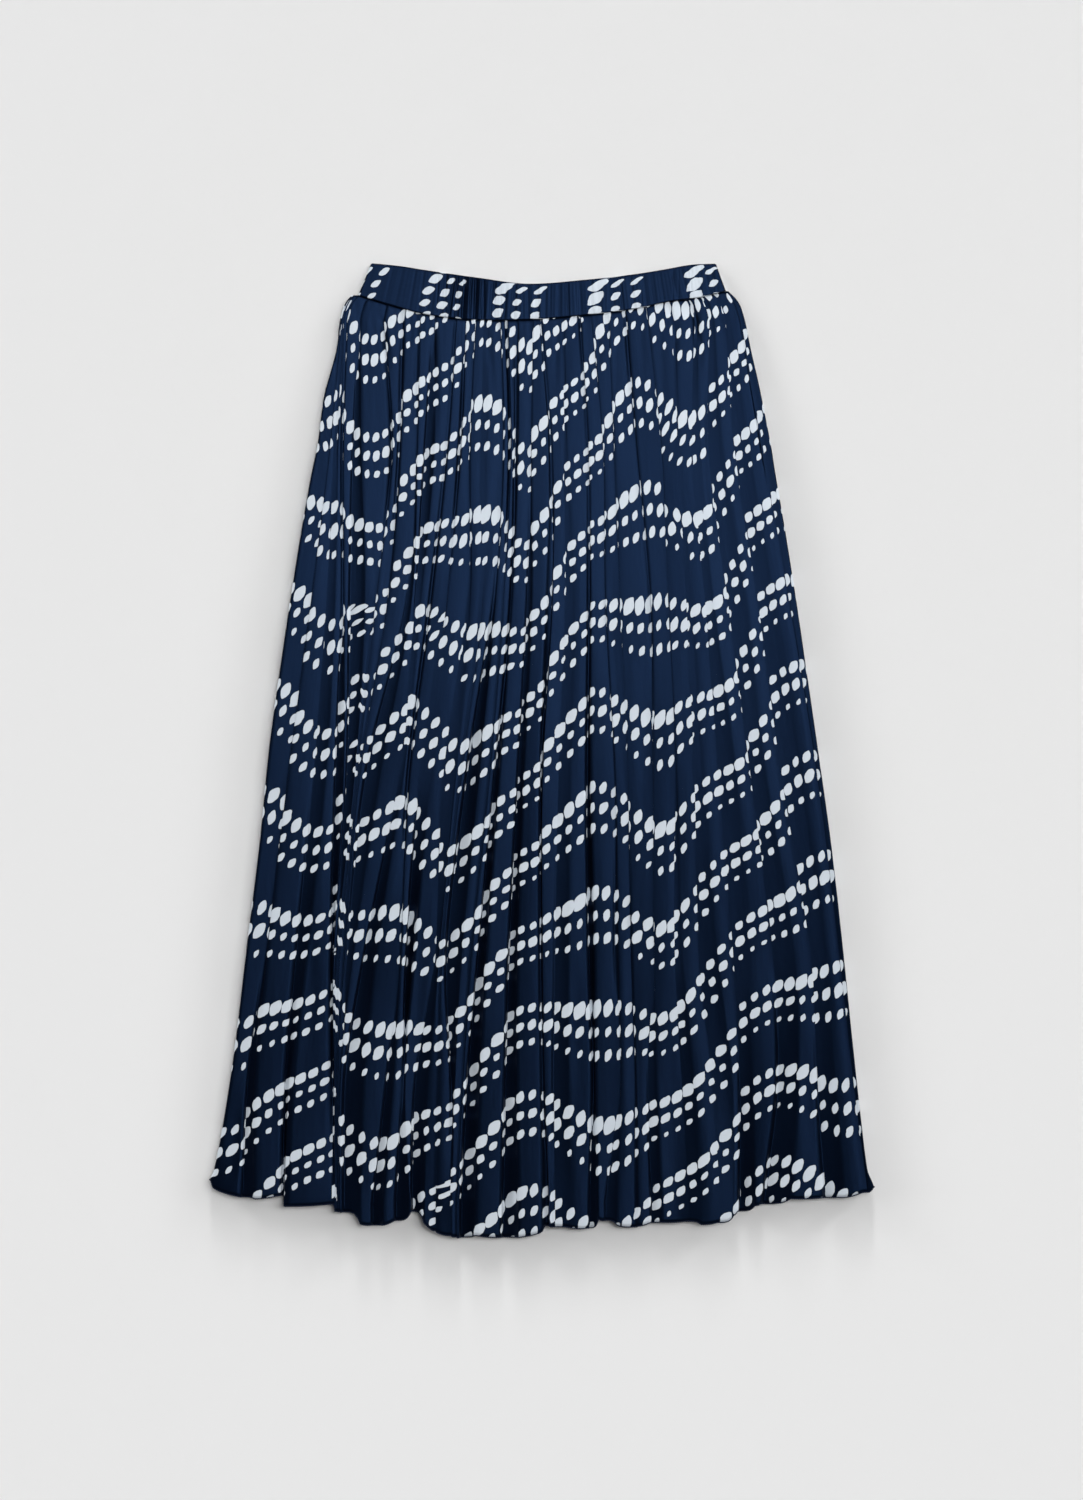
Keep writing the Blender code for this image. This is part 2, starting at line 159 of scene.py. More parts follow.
DEPTHS = table(FROM_WAIST, [
    (0.3, 0.3, 0.8, 1.2, 1.6, 3.5, 4.4),
    (0.3, 0.5, 1.2, 1.9, 3.8, 5, 5.6),
    (0.6, 2, 2, 3.4, 5.4, 3.6, 0.5),
    (0.8, 2.4, 2.8, 2.2, 0.4, 0.1, 0.1),
    (1.4, 3.4, 0.5, 0.1, 0.1, 0.1, 0.1),
    (1.4, 2.2, 1.2, 0.2, 0.1, 0.1, 0.1),
    (0.8, 1.4, 2, 3, 1, 0.3, 0.1),
    (0.9, 3, 1.2, 0.8, 5.5, 3.4, 3.6),
    (2.4, 1.8, 2.6, 2.4, 1, 3, 5.2),
    (1.4, 3.2, 0.6, 0.3, 8, 1.6, 5.4),
    (1, 1.2, 0.8, 0.9, 1.6, 2.6, 5.6),
    (0.5, 0.6, 0.4, 0.2, 0.2, 0.2, 0.4),
    (1.6, 1.4, 2.2, 6.8, 4, 3.6, 0.2),
    (2.8, 3.6, 0.2, 0.1, 0.1, 0.1, 0.1),
    (0.9, 2.2, 3.4, 4.4, 6.4, 7.6, 7.4),
    (0.7, 1.4, 2.4, 4.4, 6.6, 5.6, 7.4),
    (0.7, 1, 3, 5, 3.8, 2.2, 4.4),
    (0.8, 0.8, 1.4, 1.7, 2.2, 2.4, 1.2),
    (2.4, 2.2, 2.8, 5.2, 6.4, 4.4, 4.6),
    (1.2, 1.2, 1.6, 1.6, 2.2, 0.9, 2.2),
    (0.8, 1.2, 0.5, 0.4, 1.5, 1.4, 1.6),
    (2.8, 1.6, 2.4, 0.8, 0.5, 1.8, 3.6),
    (1, 0.8, 0.6, 0.6, 1, 1.8, 0.9),
    (1.1, 0.2, 0.6, 0.8, 1.6, 1.6, 0.5),
    (2.2, 0.4, 0.9, 1.4, 1.2, 2, 6.4),
    (1, 1.7, 1.5, 1.4, 1.6, 5.4, 6.2),
    (0.5, 1.3, 1.5, 1.3, 1, 2.8, 5.2),
    (0.5, 0.6, 0.6, 0.6, 0.8, 0.8, 1.2),
])

# Height of the front's ridges over its troughs, and of the back's, up the skirt
RISES = table("up front back", [(-50, 7.8, 1.6), (480, 6.8, 1.6), (640, 5, 1.2), (715, 3, 0.7),
                                (772, 1.4, 0.3)])
# The heat-setting draws the cloth in towards the waist, to this share of its breadth
SET_CLOTH = table("up share", [(-50, 1), (250, 0.95), (480, 0.86), (640, 0.77), (760, 0.72)])
BACK_THIN = 1.3  # back panel in its troughs
UNDER_FRONT = 1.95  # room between the back's ridges and the front's deepest troughs
TROUGH_OF_ROOM = 0.90  # a trough takes at most this share of the room at its fold
DEPTH_OF_ROOM = 0.6  # and is at most this share of it deep
LEAST_DEPTH = 0.02  # what is left of a trough where it has faded out
LEAST_ROOM = 0.2  # ridges count as at least this far apart
LEAST_FACE = 0.5  # and a face as at least this broad
NARROW, WIDE = 2.5, 5.2  # breadths at which a trough is a slit, and an open valley
RIDGE_SWAY = 0.9  # how unevenly high the ridges are

# Across a trough, from its gentle side to the ridge on its steep side: shares of its
# breadth and depth. The ridge of a slit leans over it, and a valley has a foot and a facet.
# Down to the foot the shares are of what the face has left of the depth.
TROUGH = table("slit slit_depth valley valley_depth", [
    (0, 0, 0, 0), (0.2, 0.4, 0.05, 0.38), (0.42, 0.8, 0.1, 0.8), (0.66, 1, 0.14, 1),
    (0.9, 0.97, 0.17, 0.99), (1.07, 0.8, 0.45, 0.8), (1.1, 0.5, 0.7, 0.56),
    (1.03, 0.2, 0.88, 0.27), (0.99, 0.05, 0.97, 0.06), (1.02, 0, 1, 0),
])
FOOT = 3  # the cloth that a pleat hides is folded away past this bend
FACE_STEPS = 7
FACE_SLOPE = 0.34  # how steeply a narrow face sinks
FACE_BREADTH = 6.0  # and the breadth at which that slope has halved
FADED_DEPTH = 0.5  # a ridge with a shallower trough fades into the face around it
FADED_CUT = 2.0  # and its cloth is folded away this much sooner
FACE_SHARE = 0.85  # a face takes at most this share of its trough's depth
FACE_SINK = 1.25  # the face sinks as this power of the way across
RIDGE_SINK = 3  # and comes level past the last ridge as this power

# The side edge, from its lowest point in to the first face: how far in from the side,
# in millimetres, and how far down, as a share of the drop to the back panel
SIDE_CURL = table("inward drop", [(1.3, 1), (0.3, 0.86), (0, 0.62), (0.06, 0.32), (0.3, 0.08)])
CURL_BREADTH = 1.0  # the first face starts this far in
CURL_FOOT = 0.4  # the side edge ends this far above the back panel

# Rows of points down a panel: how many, and the share of the way down where they end
FRONT_ROWS = table("count end", [(24, 0.05), (66, 0.972), (7, 1)])
SETTLINGS = 6  # a line is read this often to settle its place at the seam and the hem
FRONT_TOP_GAP = 0.05  # the cloth ends this far below the seam

# Waves that share no rhythm: how high each is, the way across and up the skirt in which it
# turns by one radian, and where it starts. For the ridges, across is a number of ridges.
Wave = namedtuple("Wave", "size across up start")
RIDGE_WAVES = [Wave(0.25, 1 / 2.4, 118, 0), Wave(0.25, 1 / 4.1, -71, 1)]


def smooth(places, values):
    """A smooth curve through values at rising places, level past both ends."""
    places, values = np.array(places, float), np.array(values, float)
    last = len(places) - 1
    order = np.arange(last + 1)
    before, after = np.maximum(order - 1, 0), np.minimum(order + 1, last)
    slopes = (values[after] - values[before]) / (places[after] - places[before])

    def read(at):
        at = np.clip(at, places[0], places[last])
        i = np.clip(np.searchsorted(places, at, side="right") - 1, 0, last - 1)
        span = places[i + 1] - places[i]
        t = (at - places[i]) / span
        ends = values[i] * (1 + 2 * t) * (1 - t) ** 2 + values[i + 1] * t * t * (3 - 2 * t)
        turns = slopes[i] * t * (1 - t) ** 2 - slopes[i + 1] * t * t * (1 - t)
        return ends + turns * span

    return read


def curve(rows, at, value):
    """A smooth curve through two columns of a table."""
    return smooth([getattr(row, at) for row in rows], [getattr(row, value) for row in rows])


def swing(waves, across, up):
    """How high a few waves stand together at a place."""
    return sum(wave.size * np.sin(across / wave.across + up / wave.up + wave.start)
               for wave in waves)


def bow(share):
    """1 in the middle of the way and 0 at both ends."""
    return np.clip(4 * share * (1 - share), 0, 1)


def level_values(row):
    """A row's values at the named levels, from the hem up."""
    return [getattr(row, name) for name in LEVELS]


def by_level(row):
    """The same values as a curve up the skirt."""
    return smooth(list(LEVELS.values()), level_values(row))


left_side = curve(SIDES, "up", "left")
right_side = curve(SIDES, "up", "right")
seam_up = curve(BAND, "seam_x", "seam_up")
front_rise = curve(RISES, "up", "front")
back_rise = curve(RISES, "up", "back")
squeeze = curve(SET_CLOTH, "up", "share")
HIGHEST = max(row.top_up for row in BAND)
LOWEST = max(max(ridge.before, ridge.after) for ridge in RIDGES)
MIDDLE_UP = (HIGHEST - LOWEST) / 2


def face_sink(length):
    """How far a face sinks on its way to the next trough."""
    return FACE_SLOPE * length / (1 + length / FACE_BREADTH)


class Pleats:
    """Where the ridges and troughs of one panel run, at any height."""

    def __init__(self, rise, inset, sway):
        self.rise = rise
        self.inset = inset
        self.sway = sway
        heights = np.array(list(LEVELS.values()))
        left, right = self.sides(heights)
        self.where = [smooth(heights, left + (right - left) * np.array(level_values(ridge)) / PARTS)
                      for ridge in RIDGES]
        self.breadths = [by_level(row) for row in BREADTHS]
        self.depths = [by_level(row) for row in DEPTHS]

    def sides(self, up):
        """Both edges of the panel at a height."""
        return left_side(up) + self.inset, right_side(up) - self.inset

    def ridge(self, i, up):
        """Where a ridge runs at a height. The sides count as ridges past the ends."""
        left, right = self.sides(up)
        if i < 0:
            return left
        if i == len(RIDGES):
            return right
        beside = left + (right - left) * RIDGES[i].waist / PARTS
        return np.where(up > LEVELS["waist"], beside, self.where[i](up))

    def low(self, i, up):
        """How far a ridge lies below the highest ones.

        The ridges rise and fall unevenly, and one that has faded out lies on the face it crosses.
        """
        if i < 0 or i == len(RIDGES):
            return 0.0 * up
        low = self.sway * self.rise(up) / self.rise(0) * (0.5 + swing(RIDGE_WAVES, i, up))
        if i + 1 == len(RIDGES) or RIDGES[i].turned or RIDGES[i + 1].turned:
            return low
        start = self.ridge(i - 1, up)
        length = np.maximum(self.ridge(i + 1, up) - self.breadths[i + 1](up) - start, LEAST_FACE)
        sunk = np.minimum(face_sink(length), FACE_SHARE * self.depths[i + 1](up))
        share = np.clip((self.ridge(i, up) - start) / length, 0, 1)
        return low + self.faded(i, up) * (sunk * share - low)

    def faded(self, i, up):
        """How far a ridge has faded out, from 0 to 1."""
        if i < 0 or i == len(RIDGES) or RIDGES[i].turned:
            return 0.0 * up
        return np.clip(1 - self.depths[i](up) / FADED_DEPTH, 0, 1)

    def trough(self, i, up):
        """Ridge, breadth, depth and openness of a trough, held to its room, and its face."""
        ridge = self.ridge(i, up)
        turned = RIDGES[i].turned
        room = self.ridge(i + 1, up) - ridge if turned else ridge - self.ridge(i - 1, up)
        room = np.maximum(room, LEAST_ROOM)
        breadth = np.minimum(self.breadths[i](up), room * TROUGH_OF_ROOM)
        depth = np.minimum(np.minimum(self.depths[i](up), self.rise(up)), room * DEPTH_OF_ROOM)
        share = np.clip((breadth - NARROW) / (WIDE - NARROW), 0, 1)
        wide = share * share * (3 - 2 * share)
        face = room - breadth
        if i and not turned:
            face = face + self.faded(i - 1, up) * (self.ridge(i - 1, up) - self.ridge(i - 2, up))
        return ridge, breadth, np.maximum(depth, LEAST_DEPTH), wide, face

    def bend(self, i, bend, up):
        """A line of a trough: its x and its depth. A turned trough is the mirror image."""
        ridge, breadth, depth, wide, face = self.trough(i, up)
        before_ridge = breadth * (1 - bend.slit + (bend.slit - bend.valley) * wide)
        x = ridge + before_ridge if RIDGES[i].turned else ridge - before_ridge
        low = self.low(i, up)
        depth = np.maximum(depth - low, LEAST_DEPTH)
        share = bend.slit_depth + (bend.valley_depth - bend.slit_depth) * wide
        if TROUGH.index(bend) <= FOOT and not RIDGES[i].turned:
            sunk = np.minimum(np.maximum(face_sink(face) - low, 0) / depth, FACE_SHARE)
            share = sunk + (1 - sunk) * share
        return x, low + depth * share

    def edge(self, i, on_left, up):
        """Where the face on one side of a trough meets it."""
        gentle = on_left != bool(RIDGES[i].turned)
        return self.bend(i, TROUGH[0] if gentle else TROUGH[-1], up)


def face_line(pleats, i, share, up):
    """A line of the face that leads to trough i: its x and depth."""
    left, right = pleats.sides(up)
    start, sink_before = left + CURL_BREADTH, 0.0
    if i > 0:
        start, sink_before = pleats.edge(i - 1, False, up)
    end, sink_after = right - CURL_BREADTH, 0.0
    if i < len(RIDGES):
        end, sink_after = pleats.edge(i, True, up)
    before, after = RIDGE_SINK, FACE_SINK
    if i > 0 and RIDGES[i - 1].turned:
        before = FACE_SINK
    if i < len(RIDGES) and RIDGES[i].turned:
        after = RIDGE_SINK
    depth = sink_before * (1 - share) ** before + sink_after * share ** after
    return start + (end - start) * share, depth


def hem_drop(i, share):
    """How far the hem hangs below its corners, on the face that leads to trough i."""
    if i == 0:
        share = share ** CORNER_ROUND
    start = RIDGES[i - 1].after if i else HEM_LEFT_CORNER
    end = RIDGES[i].before if i < len(RIDGES) else HEM_RIGHT_CORNER
    return start + (end - start) * share + HEM_BOW * bow(share)


def hem_beside(ridge, bend):
    """The same across a trough: the hem steps as it comes up to the ridge."""
    share = bend.valley ** HEM_STEP
    start, end = (ridge.after, ridge.before) if ridge.turned else (ridge.before, ridge.after)
    return start + (end - start) * share


# A line down a panel: how its place is read, how low it hangs, its pleat, and whether the
# pleat hides it
Line = namedtuple("Line", "read hem pleat hidden")


def panel_lines(pleats, room, face_steps, bends):
    """Every line down a panel, left to right."""
    lines = []

    def curled(curl, on_left):
        def read(up):
            left, right = pleats.sides(up)
            x = left + curl.inward if on_left else right - curl.inward
            return x, (pleats.rise(up) + room - CURL_FOOT) * curl.drop
        hem = HEM_LEFT_CORNER if on_left else HEM_RIGHT_CORNER
        lines.append(Line(read, hem, 0 if on_left else len(RIDGES), False))

    for curl in SIDE_CURL:
        curled(curl, True)
    for i in range(len(RIDGES) + 1):
        for step in range(face_steps if i < len(RIDGES) else face_steps + 1):
            share = step / face_steps
            lines.append(Line(lambda up, i=i, share=share: face_line(pleats, i, share, up),
                              hem_drop(i, share), i, False))
        if i < len(RIDGES):
            ridge = RIDGES[i]
            inner = [TROUGH[k] for k in bends]
            for bend in reversed(inner) if ridge.turned else inner:
                past_foot = TROUGH.index(bend) > FOOT
                lines.append(Line(lambda up, i=i, bend=bend: pleats.bend(i, bend, up),
                                  hem_beside(ridge, bend), i, past_foot != bool(ridge.turned)))
    for curl in reversed(SIDE_CURL):
        curled(curl, False)
    return lines


def shares_down(rows):
    """Rows of points down a panel, as shares of the way."""
    shares = [0.0]
    for count, end in rows:
        start = shares[-1]
        shares += [start + (end - start) * (step + 1) / count for step in range(count)]
    return np.array(shares)


def lay(lines, rows, top_gap, hem_gap):
    """Settles every line on the seam above it and the hem below it: x, up and depth."""
    shares = shares_down(rows)
    x = np.zeros((len(shares), len(lines)))
    up, depth = x.copy(), x.copy()
    for j, line in enumerate(lines):
        height = HIGHEST * (1 - shares)
        for _ in range(SETTLINGS):
            where, sunk = line.read(height)
            top = seam_up(where) - top_gap
            bottom = hem_gap - line.hem
            height = top + (bottom - top) * shares
        x[:, j], up[:, j], depth[:, j] = where, height, sunk
    return x, up, depth


def world(x, up, z):
    """Points of the scene, in metres, from places on the skirt."""
    return np.stack(np.broadcast_arrays(x, up - MIDDLE_UP, z), axis=-1) * MM


def add(name, data):
    """A new object in the scene."""
    item = bpy.data.objects.new(name, data)
    bpy.context.scene.collection.objects.link(item)
    return item


def add_mesh(name, material, points, faces):
    """A smooth mesh in the scene."""
    mesh = bpy.data.meshes.new(name)
    mesh.from_pydata(points.reshape(-1, 3).tolist(), [], faces)
    mesh.shade_smooth()
    mesh.materials.append(material)
    return add(name, mesh)


def cloth_shell(name, material, upper, begins, ends, lower=None):
    """A closed shell from a grid of its upper side.

    begins and ends are where the left and the right edge of each column of faces lie on
    the cut cloth, in metres.
    """
    if lower is None:
        normal = np.cross(np.gradient(upper, axis=0), np.gradient(upper, axis=1))
        normal /= np.linalg.norm(normal, axis=-1, keepdims=True)
        lower = upper - normal * SATIN * MM
    rows, wide = upper.shape[:2]
    index = np.arange(rows * wide).reshape(rows, wide)
    a, b, c, d = index[:-1, :-1], index[1:, :-1], index[1:, 1:], index[:-1, 1:]
    top = np.stack([a, b, c, d], axis=-1).reshape(-1, 4)
    border = np.concatenate([index[0, :-1], index[:-1, -1], index[-1, :0:-1], index[:0:-1, 0]])
    following = np.roll(border, -1)
    under = rows * wide
    rim = np.stack([border, following, following + under, border + under], axis=-1)
    faces = np.concatenate([top, top[:, ::-1] + under, rim]).tolist()
    shell = add_mesh(name, material, np.stack([upper, lower]), faces)
    quads = np.stack([begins[:-1], begins[1:], ends[1:], ends[:-1]], axis=2).reshape(-1, 4, 2)
    points = np.concatenate([begins, ends[:, -1:]], axis=1).reshape(-1, 2)
    rim_place = points[rim % under]
    cloth = np.concatenate([quads, quads[:, ::-1], rim_place])
    shell.data.uv_layers.new(name="Cloth").uv.foreach_set("vector", cloth.ravel())
    return shell


def cut_place(pleats, lines, x, up, z):
    """Where both edges of each column of faces lie on the cut cloth, in metres across and down.

    A ridge runs straight down the cloth. What a pleat doesn't show at a height is
    folded away at the foot of its trough, so the print is cut short there. Where a ridge
    has faded out, its cloth goes into the next trough to the left.
    """
    run = np.hypot(np.diff(x, axis=1), np.diff(z, axis=1)) / squeeze(up[:, 1:])
    passed = np.concatenate([np.zeros((len(x), 1)), np.cumsum(run, axis=1)], axis=1)
    pleat = np.array([line.pleat for line in lines])
    hidden = np.array([line.hidden for line in lines])
    across = np.zeros(x.shape)
    start, carried, next_face = 0.0, 0.0, 0.0
    for i in reversed(range(len(RIDGES) + 1)):
        mine = np.flatnonzero(pleat == i)
        first, end = mine[0], min(mine[-1] + 1, x.shape[1] - 1)
        here = passed[:, mine] - passed[:, [first]]
        whole = passed[:, [end]] - passed[:, [first]]
        start = start - whole.max()
        gone = np.clip(pleats.faded(i, up[:, [end]]) * FADED_CUT, 0, 1)
        carried = gone * (whole.max() - whole + carried)
        face = start + carried
        across[:, mine] = np.where(hidden[mine], next_face - whole + here, face + here)
        next_face = face
    begins = across[:, :-1] - start / 2
    down = up[0] - up
    return (np.stack([begins, down[:, :-1]], axis=-1) * MM,
            np.stack([begins + run, down[:, 1:]], axis=-1) * MM)


# Soft creases, most of them below the waist seam, which run out at both ends: where they
# begin and end, how deep they are and how broad
CREASES = table("x_high up_high x_low up_low depth breadth", [
    (-158, 756, -149, 700, 0.7, 3.4), (-146, 752, -143, 716, 0.5, 2.4),
    (-113, 752, -112, 722, 0.5, 2.2), (-92, 746, -96, 690, 0.5, 2.6),
    (-69, 745, -73, 702, 0.6, 2.4), (-47, 744, -42, 690, 0.7, 2.8), (-20, 744, -24, 672, 0.7, 2.6),
    (13, 748, 12, 690, 0.7, 2.4), (23, 748, 20, 655, 0.5, 2.6), (48, 750, 50, 700, 0.6, 2.2),
    (66, 752, 62, 660, 0.5, 2.4), (84, 754, 88, 702, 0.6, 2.4), (101, 758, 106, 660, 0.6, 2.6),
    (116, 762, 116, 706, 1.2, 1.9), (132, 766, 138, 708, 1.7, 2.2),
    (-139, 752, -130, 704, 1.6, 2.4), (150, 768, 160, 716, 0.7, 3.4),
    (-128, 600, -134, 470, 0.7, 5), (-60, 560, -76, 380, 0.6, 5), (-36, 640, -52, 500, 0.5, 4),
    (60, 560, 64, 380, 0.5, 5), (90, 470, 88, 300, 0.6, 6), (112, 380, 124, 160, 0.7, 6),
    (28, 200, 32, 20, 0.6, 6), (78, 190, 84, 40, 0.7, 6), (-196, 250, -203, 70, 0.6, 5),
    (-100, 250, -112, 90, 0.5, 5), (-60, 170, -66, 20, 0.6, 6), (222, 140, 238, 10, 0.7, 7),
    (-262, 70, -268, 0, 0.9, 6), (-119, 750, -122, 672, 0.9, 1.6),
    (-107, 742, -109, 655, 0.9, 1.6), (-92, 744, -90, 650, 1, 1.8), (112, 130, 120, -150, 2, 15),
    (168, 170, 180, -190, 2.6, 20), (-174, 90, -176, -110, 1.5, 20),
    (-104, 180, -112, -40, 1.6, 16),
])
GATHER_PITCH = 6.5  # small gathers that the waist seam draws in
GATHER_DEPTH = 0.38
GATHER_FADE = 16.0
# They stand closer and further apart, and some are deeper
GATHER_WAVES = [Wave(1.3, 17, math.inf, 0), Wave(0.8, 7.3, math.inf, 1)]
GATHER_SIZES = [Wave(0.4, 23, math.inf, 0)]
TUCK_DEPTH = 0.5  # the top edge turns down into the seam
TUCK_BREADTH = 0.8
RUFFLE = 0.35  # the cloth's slow unevenness down every face
RUFFLE_WAVES = [Wave(1 / 6, 9.1, 37, 0), Wave(1 / 6, 15.7, -53, 2), Wave(1 / 6, 31, 29, 0)]
RUFFLE_RISE = 6.0  # it is less where the pleats rise less than this
RUFFLE_LEAST = 0.2
FALL_DEPTH = 4.5  # low down, the skirt falls away to its left edge
FALL_BREADTH = 30.0
FALL_HEIGHT = 60.0
FALL_ROUND = 1.5  # as this power of the way


def softened(x, up):
    """How far the cloth lies below its pleats: creases, gathers at the seam and unevenness."""
    sunk = np.zeros(x.shape)
    for crease in CREASES:
        t = (crease.up_high - up) / (crease.up_high - crease.up_low)
        beside = x - (crease.x_high + (crease.x_low - crease.x_high) * t)
        sunk += crease.depth * np.exp(-(beside / crease.breadth) ** 2) * bow(t)
    below_seam = seam_up(x) - up
    turn = x / GATHER_PITCH * math.tau + swing(GATHER_WAVES, x, up)
    gathered = np.exp(-below_seam / GATHER_FADE) * (1 + swing(GATHER_SIZES, x, up))
    sunk += GATHER_DEPTH * gathered * (1 + np.sin(turn)) / 2
    sunk += TUCK_DEPTH * np.exp(-(below_seam / TUCK_BREADTH) ** 2)
    fall = np.clip(1 - (x - left_side(up)) / FALL_BREADTH, 0, 1) ** FALL_ROUND
    sunk += FALL_DEPTH * fall * np.exp(-np.maximum(up, 0) / FALL_HEIGHT)
    share = np.clip(front_rise(up) / RUFFLE_RISE, RUFFLE_LEAST, 1)
    return sunk + RUFFLE * (0.5 + swing(RUFFLE_WAVES, x, up)) * share


class Finish:
    """A material that is put together from nodes."""

    def __init__(self, name):
        self.material = bpy.data.materials.new(name)
        self.material.use_nodes = True
        self.tree = self.material.node_tree
        self.shader = self.tree.nodes["Principled BSDF"]

    def feed(self, node, inputs):
        """Joins outputs to a node's sockets, or sets numbers and colours there."""
        for socket, value in inputs.items():
            if isinstance(value, bpy.types.NodeSocket):
                self.tree.links.new(value, node.inputs[socket])
            else:
                node.inputs[socket].default_value = value

    def node(self, kind, inputs, **settings):
        """A node with its settings and inputs."""
        node = self.tree.nodes.new(kind)
        for name, value in settings.items():
            setattr(node, name, value)
        self.feed(node, inputs)
        return node

    def calc(self, operation, *values):
        """One step of arithmetic on numbers and outputs."""
        return self.node("ShaderNodeMath", dict(enumerate(values)), operation=operation).outputs[0]

    def place(self, across, down):
        """A point from its two coordinates."""
        return self.node("ShaderNodeCombineXYZ", {0: across, 1: down}).outputs[0]

    def clouded(self, across, down, cloud):
        """Soft unevenness, drawn out along the cloth."""
        place = self.place(self.calc("MULTIPLY", across, cloud.drawn_out), down)
        inputs = {"Vector": place, "Scale": cloud.scale, "Detail": cloud.detail}
        return self.node("ShaderNodeTexNoise", inputs, noise_dimensions="2D").outputs[0]

    def ramp(self, value, low, high, at_low, at_high):
        """Carries a value smoothly from one range to another."""
        inputs = {0: value, 1: low, 2: high, 3: at_low, 4: at_high}
        return self.node("ShaderNodeMapRange", inputs, interpolation_type="SMOOTHSTEP").outputs[0]

    def blend(self, share, first, second):
        """Goes from the first colour to the second."""
        inputs = {0: share, 6: first, 7: second}
        return self.node("ShaderNodeMix", inputs, data_type="RGBA").outputs[2]


# The print: slanting grains on even ripples that climb to the right, three rows and then two
# empty ones, in metres on the cut cloth
GRAIN_STEP = 0.0108
ROW_PITCH = 0.0160
ROW_CLIMB = 0.30
RIPPLES = table("height length drift start", [(0.0300, 0.290, 5.0, 0.4), (0.0085, 0.137, -8.0, 2.1)])
GRAIN_LENGTH = 0.0058
GRAIN_BREADTH = 0.0036
GRAIN_SLANT = 0.55
TIP_ROUND = 1.6  # a grain's tips and flanks are round as these powers
FLANK_ROUND = 1.5
EDGE_SOFT = 0.05
GRAIN_SWELL = 0.22  # grains swell and shrink along a row, and each row starts elsewhere
SWELL_LENGTH = 0.115
SWELL_SHIFT = 2.4
SIZE_CHANCE = 0.14
SLANT_CHANCE = 0.35
ROW_SIZES = [1.12, 0.92, 0.68, 0.001, 0.001]
PRINT_WANDER = 0.0012  # how unevenly the ink has taken at the edge of a grain
INK = (0.500, 0.548, 0.600, 1.0)
NAVY = (0.0006, 0.0014, 0.0038, 1.0)
NAVY_WORN = (0.0008, 0.0019, 0.0050, 1.0)
GLOSS_TINT = (0.150, 0.365, 0.98, 1.0)
GLOSS_LEVEL = 0.34
INK_GLOSS = 0.06
SATIN_ROUGH = 0.45
INK_ROUGH = 0.60
WEAVE_STRENGTH = 0.35
WEAVE_DEPTH = 0.0006
Cloud = namedtuple("Cloud", "drawn_out scale detail")
INK_EDGE = Cloud(1.0, 160.0, 2.0)
WEAR = Cloud(3.0, 14.0, 4.0)
WEAR_RANGE = (0.3, 0.7)
CREEP = Cloud(5.0, 26.0, 3.0)
FLOATS = Cloud(9.0, 420.0, 3.0)
FLOAT_SHARE = 0.16


def grain_print(finish, across, down, shift):
    """1 on the printed grains and 0 on the ground between them."""
    calc = finish.calc
    across = calc("ADD", across, shift)
    cell = calc("FLOOR", calc("DIVIDE", across, GRAIN_STEP))
    centre = calc("MULTIPLY", calc("ADD", cell, 0.5), GRAIN_STEP)
    rise = calc("MULTIPLY", centre, -ROW_CLIMB)
    for ripple in RIPPLES:
        turn = calc("MULTIPLY_ADD", down, ripple.drift, ripple.start)
        turn = calc("MULTIPLY_ADD", centre, math.tau / ripple.length, turn)
        rise = calc("MULTIPLY_ADD", calc("SINE", turn), ripple.height, rise)
    row = calc("ROUND", calc("DIVIDE", calc("SUBTRACT", down, rise), ROW_PITCH))
    beside = calc("SUBTRACT", across, centre)
    above = calc("SUBTRACT", down, calc("MULTIPLY_ADD", row, ROW_PITCH, rise))
    inputs = {"Vector": finish.place(cell, row)}
    chance = finish.node("ShaderNodeTexWhiteNoise", inputs, noise_dimensions="2D")
    uneven = calc("SUBTRACT", chance.outputs["Value"], 0.5)
    turn = calc("MULTIPLY", row, SWELL_SHIFT)
    turn = calc("MULTIPLY_ADD", centre, math.tau / SWELL_LENGTH, turn)
    size = calc("MULTIPLY_ADD", calc("SINE", turn), GRAIN_SWELL, 1.0)
    size = calc("MULTIPLY_ADD", uneven, SIZE_CHANCE, size)
    turn = calc("FLOORED_MODULO", row, float(len(ROW_SIZES)))
    for number, row_size in enumerate(ROW_SIZES):
        here = calc("COMPARE", turn, float(number), 0.5)
        factor = calc("MULTIPLY_ADD", here, row_size - 1, 1.0)
        size = calc("MULTIPLY", size, factor)
    slant = calc("MULTIPLY_ADD", uneven, SLANT_CHANCE, GRAIN_SLANT)
    sine, cosine = calc("SINE", slant), calc("COSINE", slant)
    long_way = calc("SUBTRACT", calc("MULTIPLY", beside, sine), calc("MULTIPLY", above, cosine))
    short_way = calc("ADD", calc("MULTIPLY", beside, cosine), calc("MULTIPLY", above, sine))
    length = calc("DIVIDE", calc("ABSOLUTE", long_way), calc("MULTIPLY", size, GRAIN_LENGTH))
    breadth = calc("DIVIDE", calc("ABSOLUTE", short_way), calc("MULTIPLY", size, GRAIN_BREADTH))
    reach = calc("ADD", calc("POWER", length, TIP_ROUND), calc("POWER", breadth, FLANK_ROUND))
    return finish.ramp(reach, 1 - EDGE_SOFT, 1 + EDGE_SOFT, 1.0, 0.0)


